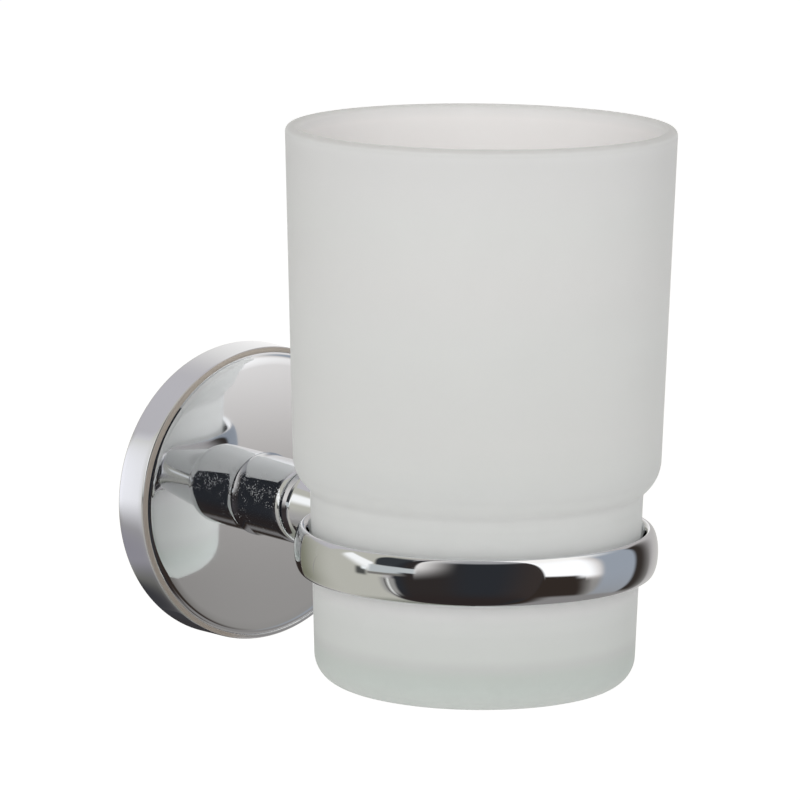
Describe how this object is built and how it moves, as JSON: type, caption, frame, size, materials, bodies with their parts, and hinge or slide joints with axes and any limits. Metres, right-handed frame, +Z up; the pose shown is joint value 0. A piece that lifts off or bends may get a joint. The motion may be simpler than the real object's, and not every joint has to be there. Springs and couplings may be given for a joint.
{
  "type": "wall-mounted toothbrush holder",
  "caption": "Frosted glass tumbler that hangs in a chrome ring on a short arm with a round wall flange; holds toothbrushes at a basin.",
  "frame": {"origin": "centre of the wall plate's back face, on the axis of the flange, hub and arm", "axes": "+Y points into the wall, -Y towards the user, +Z up; the tumbler's axis is vertical at y = -0.0696 m"},
  "size_m": [0.068, 0.1036, 0.1018],
  "materials": {
    "frosted_glass": "acid-etched, satin",
    "chrome_ring": "polished plating on brass",
    "chrome_arm": "polished plating on brass",
    "chrome_hub": "polished plating on brass",
    "chrome_flange": "polished plating on die-cast zinc",
    "fastener_steel": "plain stainless",
    "cast_zinc": "die-cast zinc, matt"
  },
  "bodies": {
    "holder": {"wall_plate": "cast_zinc", "flange_cover": "chrome_flange", "grub_screw": "fastener_steel", "lock_washer": "fastener_steel", "post_screw": "fastener_steel", "hub": "chrome_hub", "arm": "chrome_arm", "ring_stud": "fastener_steel", "holder_ring": "chrome_ring"},
    "tumbler": {"tumbler": "frosted_glass"}
  },
  "joints": [
    {"name": "tumbler_lift", "type": "slide", "parent": "holder", "child": "tumbler", "axis": [0, 0, 1], "range_m": [0, 0.045]}
  ]
}
